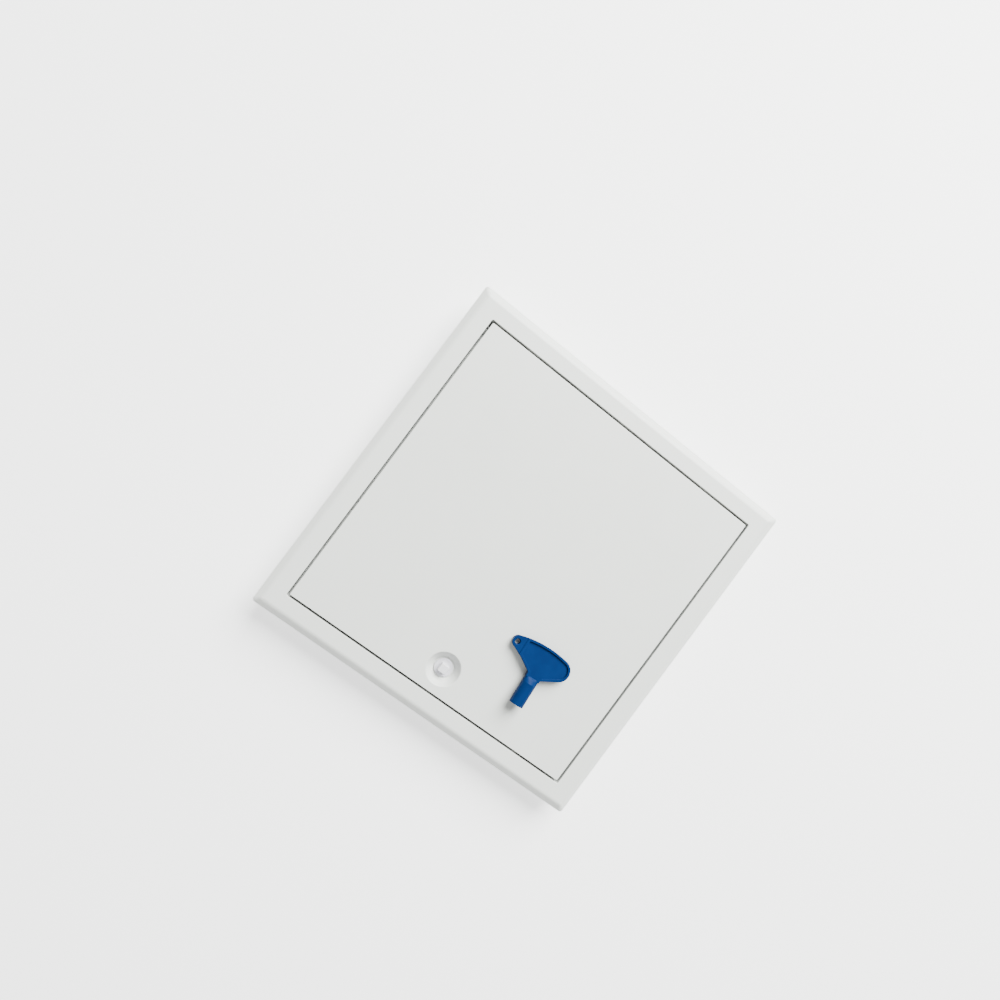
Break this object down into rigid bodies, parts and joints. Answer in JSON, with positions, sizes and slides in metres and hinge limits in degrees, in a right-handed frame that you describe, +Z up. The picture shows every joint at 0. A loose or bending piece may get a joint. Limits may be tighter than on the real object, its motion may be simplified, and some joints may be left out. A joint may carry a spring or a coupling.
{
  "type": "deck hatch",
  "caption": "Square moulded deck hatch with a flush hinged lid, a key-turned cam lock in a round dish, a perimeter seal and a loose socket key.",
  "frame": {"origin": "centre of the hatch on the deck surface that its flange lies on", "axes": "+Z up out of the deck, +Y towards the hinge side, -Y towards the lock, +X to the right seen from the lock side"},
  "size_m": [0.375, 0.375, 0.0554],
  "materials": {
    "frame_plastic": "fine moulded texture, warm off-white",
    "lid_plastic": "fine moulded texture, warm off-white",
    "seal_rubber": "dull black",
    "pin_acetal": "ground rod, black",
    "screw_steel": "plain",
    "cam_steel": "pressed and tumbled",
    "hinge_acetal": "smooth, waxy white",
    "bush_nylon": "smooth, slightly cool white",
    "spindle_nylon": "smooth, slightly cool white",
    "nut_nylon": "smooth white",
    "gasket_rubber": "dull black",
    "key_plastic": "satin moulded, strong blue"
  },
  "bodies": {
    "frame": {"frame": "frame_plastic", "hinge_pin_left": "pin_acetal", "hinge_pin_right": "pin_acetal"},
    "lid": {"lid": "lid_plastic", "lid_seal": "seal_rubber", "hinge_block_left": "hinge_acetal", "hinge_block_right": "hinge_acetal", "hinge_screws_left": "screw_steel", "hinge_screws_right": "screw_steel", "latch_bush": "bush_nylon", "bush_gasket": "gasket_rubber", "bush_nut": "nut_nylon"},
    "latch": {"latch_spindle": "spindle_nylon", "spindle_o_ring": "gasket_rubber", "cam_spring_washer": "screw_steel", "stop_tab_washer": "screw_steel", "cam": "cam_steel", "cam_washer": "screw_steel", "cam_screw": "screw_steel"},
    "key": {"key": "key_plastic"}
  },
  "joints": [
    {"name": "lid_hinge", "type": "hinge", "parent": "frame", "child": "lid", "pos_m": [0, 0.15555, 0.01195], "axis": [-1, 0, 0], "range_deg": [0, 110]},
    {"name": "latch_turn", "type": "hinge", "parent": "lid", "child": "latch", "pos_m": [0, -0.13555, 0], "axis": [0, 0, -1], "range_deg": [0, 90]},
    {"name": "key_lift", "type": "slide", "parent": "lid", "child": "key", "axis": [0, 0, 1], "range_m": [0, 0.08]}
  ]
}
